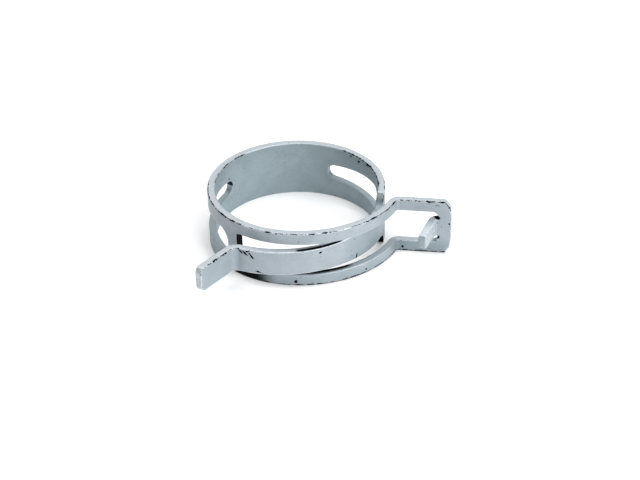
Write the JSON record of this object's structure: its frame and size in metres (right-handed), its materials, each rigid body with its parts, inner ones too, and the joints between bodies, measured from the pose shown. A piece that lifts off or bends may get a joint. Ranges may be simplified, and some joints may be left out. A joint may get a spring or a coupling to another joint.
{
  "type": "hose clamp",
  "caption": "Constant-tension hose clamp: a rolled strip of spring steel whose slotted arms cross, a tongue through a window, and end in two ears that are squeezed to open the ring.",
  "frame": {"origin": "on the axis of the hose, in the plane of the clamp's lower rim", "axes": "+Z along the hose from the lower rim to the upper rim; +X towards the framed ear's side and -Y towards the side where the arms cross"},
  "size_m": [0.0508, 0.0437, 0.012],
  "materials": {
    "coated_spring_steel": "matt silver zinc-flake coat, chipped at the sheared edges"
  },
  "bodies": {
    "back": {"back_band": "coated_spring_steel"},
    "tongue_arm_inner": {"tongue_arm_root": "coated_spring_steel"},
    "tongue_arm_middle": {"tongue_arm_upper_strand": "coated_spring_steel", "tongue_arm_lower_strand": "coated_spring_steel"},
    "tongue_arm_outer": {"tongue_shoulder": "coated_spring_steel", "tongue": "coated_spring_steel", "tongue_ear": "coated_spring_steel"},
    "window_arm_inner": {"window_arm_root": "coated_spring_steel"},
    "window_arm_middle": {"window_arm_upper_strand": "coated_spring_steel", "window_arm_lower_strand": "coated_spring_steel"},
    "window_arm_outer": {"bridge": "coated_spring_steel", "upper_rail": "coated_spring_steel", "lower_rail": "coated_spring_steel", "ear_frame": "coated_spring_steel", "grip_tab": "coated_spring_steel"}
  },
  "joints": [
    {"name": "squeeze", "type": "hinge", "parent": "back", "child": "tongue_arm_inner", "pos_m": [0.00126, 0.0172, 0.006], "axis": [0, 0, 1], "range_deg": [0, 7.5], "stiffness_Nm_per_rad": 1},
    {"name": "tongue_arm_middle_flexure", "type": "hinge", "parent": "tongue_arm_inner", "child": "tongue_arm_middle", "pos_m": [0.01159, 0.01278, 0.006], "axis": [0, 0, 1], "range_deg": [0, 7.5], "stiffness_Nm_per_rad": 1},
    {"name": "tongue_arm_outer_flexure", "type": "hinge", "parent": "tongue_arm_middle", "child": "tongue_arm_outer", "pos_m": [0.017, 0.00294, 0.006], "axis": [0, 0, 1], "range_deg": [0, 7.5], "stiffness_Nm_per_rad": 1},
    {"name": "window_arm_inner_flexure", "type": "hinge", "parent": "back", "child": "window_arm_inner", "pos_m": [-0.01009, 0.01399, 0.006], "axis": [0, 0, -1], "range_deg": [0, 7.5], "stiffness_Nm_per_rad": 1},
    {"name": "window_arm_middle_flexure", "type": "hinge", "parent": "window_arm_inner", "child": "window_arm_middle", "pos_m": [-0.01659, 0.00475, 0.006], "axis": [0, 0, -1], "range_deg": [0, 7.5], "stiffness_Nm_per_rad": 1},
    {"name": "window_arm_outer_flexure", "type": "hinge", "parent": "window_arm_middle", "child": "window_arm_outer", "pos_m": [-0.01602, -0.00683, 0.006], "axis": [0, 0, -1], "range_deg": [0, 7.5], "stiffness_Nm_per_rad": 1}
  ],
  "couplings": [
    {"joint": "tongue_arm_middle_flexure", "follows": "squeeze", "ratio": 1},
    {"joint": "tongue_arm_outer_flexure", "follows": "squeeze", "ratio": 1},
    {"joint": "window_arm_inner_flexure", "follows": "squeeze", "ratio": 1},
    {"joint": "window_arm_middle_flexure", "follows": "squeeze", "ratio": 1},
    {"joint": "window_arm_outer_flexure", "follows": "squeeze", "ratio": 1}
  ]
}
